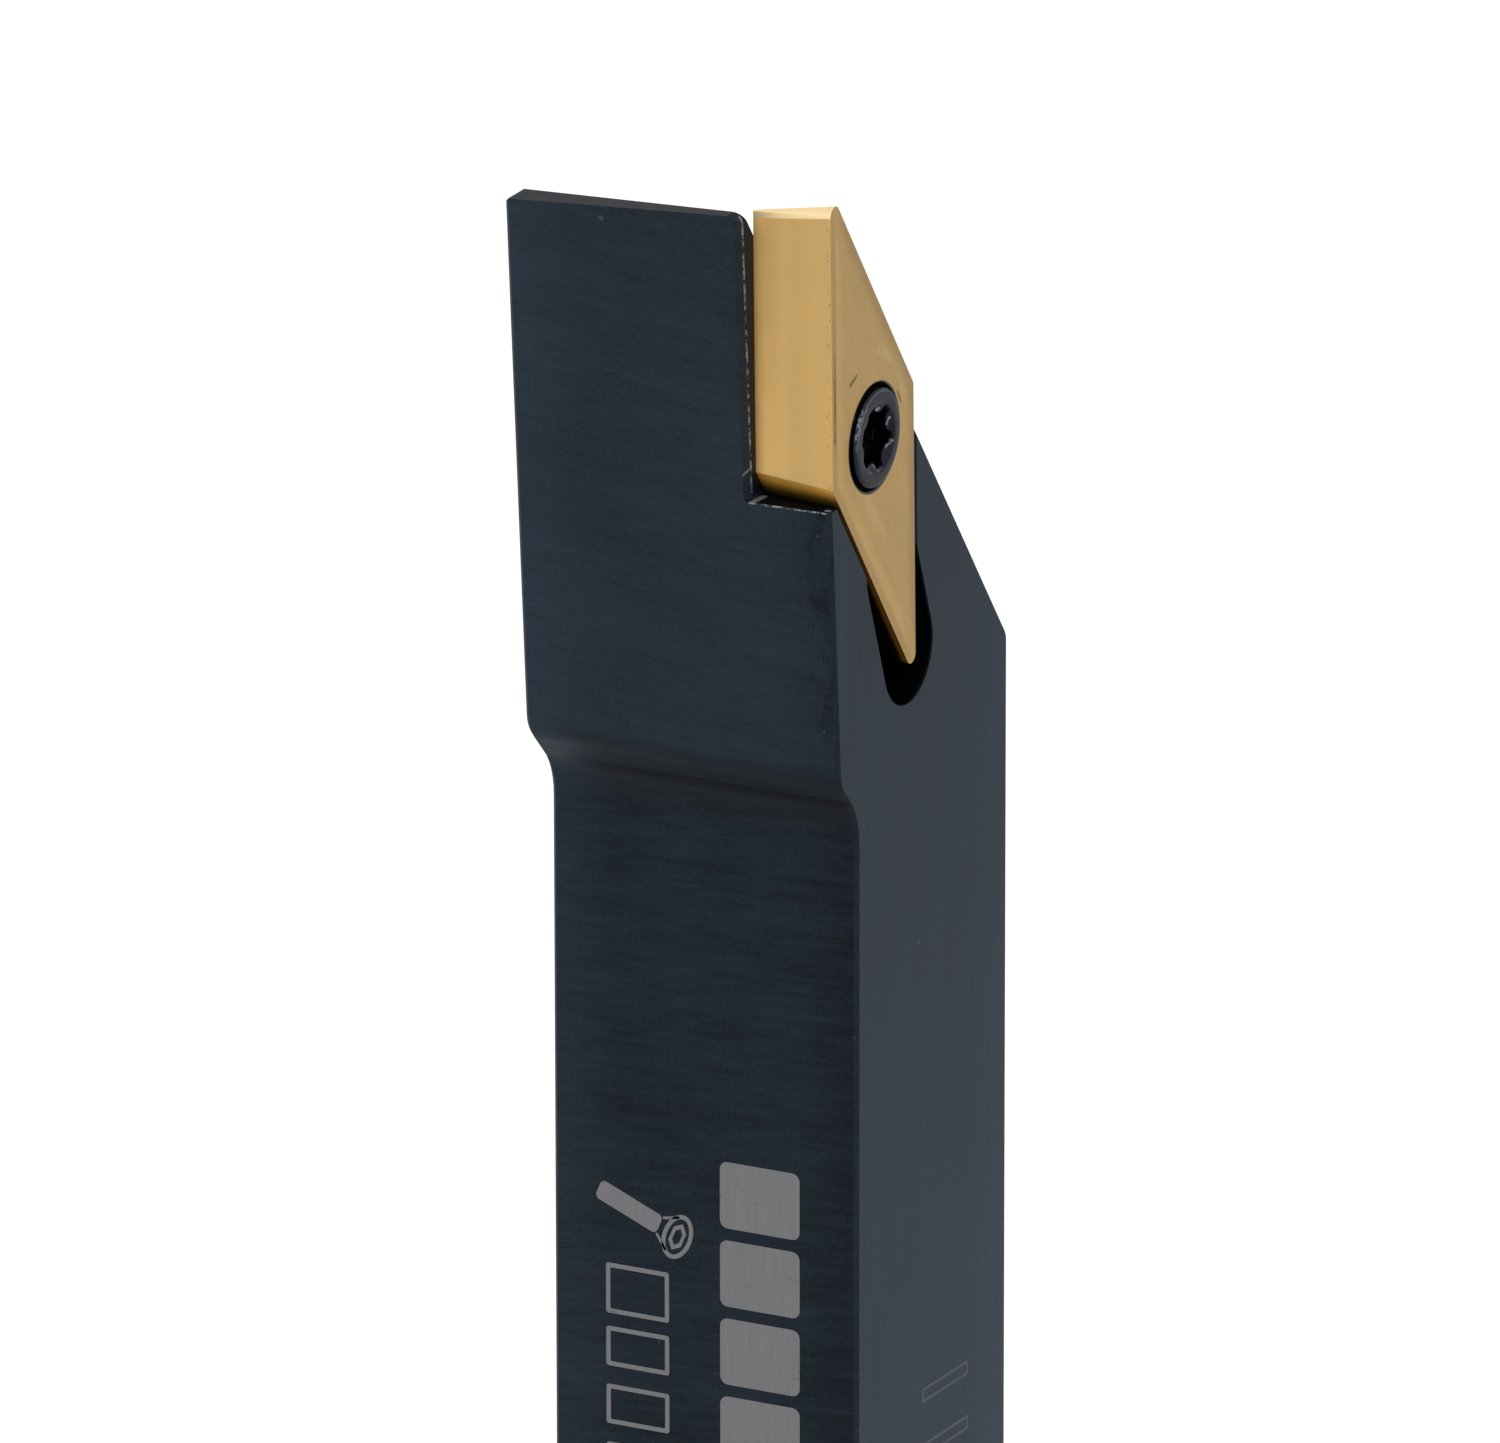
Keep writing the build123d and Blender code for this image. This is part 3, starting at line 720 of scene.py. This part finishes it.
def bar(a, b, width, radius):
    """Outline of a bar with rounded corners from a to b."""
    du, dv = b[0] - a[0], b[1] - a[1]
    return rounded((a[0] + b[0]) / 2, (a[1] + b[1]) / 2, hypot(du, dv), width, radius, lean=atan2(dv, du))


def make_marks(name, solids, bands, to_place):
    """Thin engraved fields: filled outlines, and bands between two outlines of as many points."""
    mesh = bpy.data.meshes.new(name)
    bm = bmesh.new()

    def ring(loop, lift):
        return [bm.verts.new(Vector(to_place(u, v, lift)) * MM) for u, v in loop]

    def wall(upper, lower):
        for i in range(len(upper)):
            j = (i + 1) % len(upper)
            bm.faces.new((upper[i], upper[j], lower[j], lower[i]))

    for loop in solids:
        upper, lower = ring(loop, mark_top), ring(loop, mark_foot)
        bm.faces.new(upper)
        wall(upper, lower)
    for outer, inner in bands:
        top_out, top_in = ring(outer, mark_top), ring(inner, mark_top)
        wall(top_out, top_in)
        wall(top_out, ring(outer, mark_foot))
        wall(top_in, ring(inner, mark_foot))
    bmesh.ops.recalc_face_normals(bm, faces=bm.faces)
    bm.to_mesh(mesh)
    bm.free()
    piece = bpy.data.objects.new(name, mesh)
    scene.collection.objects.link(piece)
    return piece


def on_cutting_side(u, v, lift):
    """u along the shank, v from the rake side towards the base."""
    return (shank_face - lift, v, u)


def on_rake_side(u, v, lift):
    """u along the shank, v from the cutting side towards the back."""
    return (v, shank_face - lift, u)


# Row of plain blocks
first_block, block_v, block_pitch = 41.42, -2.16, 2.95
block_length, block_width, block_corner = 2.5, 3.14, 0.3
blocks = []
for k in range(6):
    blocks.append(rounded(first_block - block_pitch * k, block_v, block_length, block_width, block_corner))

# Screw sign: a shaft, two lines for its neck, and an oval head with a hexagon in it
tip, neck, head = (40.86, 4.22), (39.84, 1.80), (39.52, 1.10)
aim = atan2(neck[1] - tip[1], neck[0] - tip[0])
blocks.append(bar(tip, neck, 0.76, 0.20))
rings = [
    (oval(*head, 1.14, 1.80, aim), oval(*head, 0.82, 1.46, aim)),
    (oval(*head, 0.62, 1.12, aim, 6, 0.5), oval(*head, 0.34, 0.70, aim, 6, 0.5)),
]
for side in (-1, 1):
    shaft_half, head_half, head_back = side * 0.33, side * 0.72, 0.2
    a = (neck[0] - shaft_half * sin(aim), neck[1] + shaft_half * cos(aim))
    b_u = head[0] - head_half * sin(aim) - head_back * cos(aim)
    b_v = head[1] + head_half * cos(aim) - head_back * sin(aim)
    blocks.append(bar(a, (b_u, b_v), 0.10, 0.04))

# Hollow boxes below the sign
box_v, box_width, box_lines = 2.68, 2.5, 0.34  # box_lines counts the line on both sides
for middle, length in ((37.15, 1.9), (34.95, 1.5), (32.75, 1.5), (30.55, 1.5)):
    outer = rounded(middle, box_v, length, box_width, 0.10)
    rings.append((outer, rounded(middle, box_v, length - box_lines, box_width - box_lines, 0.04)))

# Faint hollow bars on the rake side
bar_pitch, bar_width, bar_line = 2.1, 0.56, 0.12
faint = []
for k in range(5):
    a, b = (32.9 - bar_pitch * k, -0.8), (32.75 - bar_pitch * k, 2.9)
    inner_a, inner_b = (a[0], a[1] + bar_line), (b[0], b[1] - bar_line)
    faint.append((bar(a, b, bar_width, 0.1), bar(inner_a, inner_b, bar_width - 2 * bar_line, 0.04)))

side_marks = make_marks("marks_cutting_side", blocks, rings, on_cutting_side)
rake_marks = make_marks("marks_rake_side", [], faint, on_rake_side)
screw = make_screw()

# ---- Materials on the pieces -----------------------------------------------
for node, build in (("holder", holder_steel), ("insert", insert_coating)):
    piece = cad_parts[node]
    material = bpy.data.materials.new(node + "_finish")
    build(material)
    for slot in piece.material_slots:
        slot.link = "OBJECT"
        slot.material = material

screw.data.materials.append(bpy.data.materials.new("screw_finish"))
screw_steel(screw.data.materials[0])
side_marks.data.materials.append(bpy.data.materials.new("marks_pale"))
laser_mark(side_marks.data.materials[0], rgb(0.240, 0.236, 0.243), rgb(0.172, 0.173, 0.184))
rake_marks.data.materials.append(bpy.data.materials.new("marks_faint"))
laser_mark(rake_marks.data.materials[0], rgb(0.095, 0.104, 0.116), rgb(0.062, 0.070, 0.080))

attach(screw, "screw")
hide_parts("insert_screw")
for piece in (side_marks, rake_marks):
    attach(piece, "tool")

# ---- Floor, light and camera -----------------------------------------------
floor_half = 4.0  # metres
floor_grey = rgb(0.80, 0.80, 0.80)
floor_lift = (0.50, 0.70)  # near the tool, and beyond the lamps
lamps_reach = (250.0, 800.0)  # millimetres from the tool
sky_white = rgb(1.0, 1.0, 1.0)
sky_on_tool = 0.44  # strength where the sky is only light
floor_mesh = bpy.data.meshes.new("floor")
floor_corners = [(-1, -1), (1, -1), (1, 1), (-1, 1)]
floor_mesh.from_pydata([(u * floor_half, v * floor_half, 0) for u, v in floor_corners], [], [(0, 1, 2, 3)])
floor = bpy.data.objects.new("floor", floor_mesh)
scene.collection.objects.link(floor)


def seen_plainly(sh):
    """1 for rays from the camera, from a mirror-like surface or through glass."""
    path = sh.add("ShaderNodeLightPath").outputs
    return sh.either(path["Is Camera Ray"], path["Is Glossy Ray"], path["Is Transmission Ray"])


def white_floor(material):
    """Matt floor, lifted to white where it is seen, and a little more beyond the lamps."""
    sh = Shader(material)
    matt = sh.add("ShaderNodeBsdfDiffuse")
    matt.inputs["Color"].default_value = floor_grey
    east, north, _ = sh.split(sh.place()[0])
    lift = sh.add("ShaderNodeEmission")
    strength = sh.ramp(sh.distance(east, north), *lamps_reach, *floor_lift)
    sh.put(sh.times(seen_plainly(sh), strength), lift.inputs["Strength"])
    total = sh.add("ShaderNodeAddShader")
    sh.put(matt.outputs[0], total.inputs[0])
    sh.put(lift.outputs[0], total.inputs[1])
    sh.put(total.outputs[0], sh.add("ShaderNodeOutputMaterial").inputs["Surface"])


def white_sky(world):
    """White where it is seen, and dimmer as light on the tool."""
    sh = Shader(world)
    sky = sh.add("ShaderNodeBackground")
    sky.inputs["Color"].default_value = sky_white
    sh.put(sh.plus(sky_on_tool, seen_plainly(sh), 1.0 - sky_on_tool), sky.inputs["Strength"])
    sh.put(sky.outputs[0], sh.add("ShaderNodeOutputWorld").inputs["Surface"])


floor_mesh.materials.append(bpy.data.materials.new("floor_finish"))
white_floor(floor_mesh.materials[0])
scene.world = bpy.data.worlds.new("studio")
white_sky(scene.world)

# Square lamps: name, place and side in metres, watts
lamp_target = Vector((0.0, 0.0, 0.055))
for name, place, size, power in (
    ("overhead", (-0.25, -0.10, 0.95), 0.7, 2.6),
    ("left_key", (-0.85, 0.25, 0.45), 0.5, 2.0),
    ("right_fill", (-0.05, -0.95, 0.40), 0.5, 1.8),
):
    light = bpy.data.lights.new(name, "AREA")
    light.shape, light.size, light.energy = "SQUARE", size, power
    lamp = bpy.data.objects.new(name, light)
    lamp.location = place
    lamp.rotation_euler = (lamp_target - Vector(place)).to_track_quat("-Z", "Y").to_euler()
    scene.collection.objects.link(lamp)

# Camera, fitted to the edges of the shank and the insert in the photo
camera_data = bpy.data.cameras.new("camera")
camera_data.sensor_fit = "HORIZONTAL"
camera_data.sensor_width = 36.0
camera_data.lens = 476.226
camera_data.clip_start = 0.05
camera_data.clip_end = 20.0
camera = bpy.data.objects.new("camera", camera_data)
right = Vector((0.44756199, -0.89425194, -0.00131645))
up = Vector((0.29527302, 0.14639060, 0.94413115))
look = Vector((0.84409840, 0.42294593, -0.32956734))
pose = Matrix((right, up, -look)).transposed().to_4x4()
pose.translation = Vector((-591.25933, -295.05463, 287.76437)) * MM
camera.matrix_world = pose
scene.collection.objects.link(camera)
scene.camera = camera
